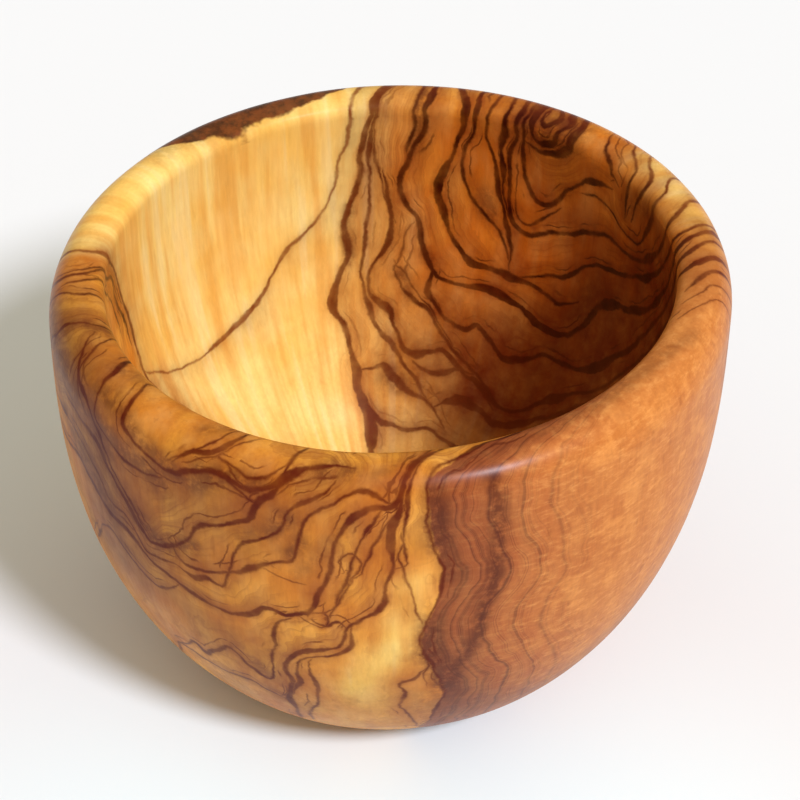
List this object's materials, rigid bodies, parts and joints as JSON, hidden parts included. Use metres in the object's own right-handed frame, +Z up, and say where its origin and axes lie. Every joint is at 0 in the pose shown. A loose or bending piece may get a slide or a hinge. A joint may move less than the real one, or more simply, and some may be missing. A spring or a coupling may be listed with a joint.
{
  "type": "yarn bowl",
  "caption": "Deep round bowl turned from one block of olive wood, with a thick crowned rim and a flat foot, which holds a ball of yarn.",
  "frame": {"origin": "middle of the flat foot, on the surface that the bowl stands on", "axes": "+Z up along the bowl's axis, +X towards the side where the rim is highest, +Y at a quarter turn from it"},
  "size_m": [0.1501, 0.15, 0.1068],
  "materials": {
    "olive_wood": "oiled and waxed to a satin sheen, strongly figured"
  },
  "bodies": {
    "root": {"bowl": "olive_wood"}
  },
  "joints": []
}
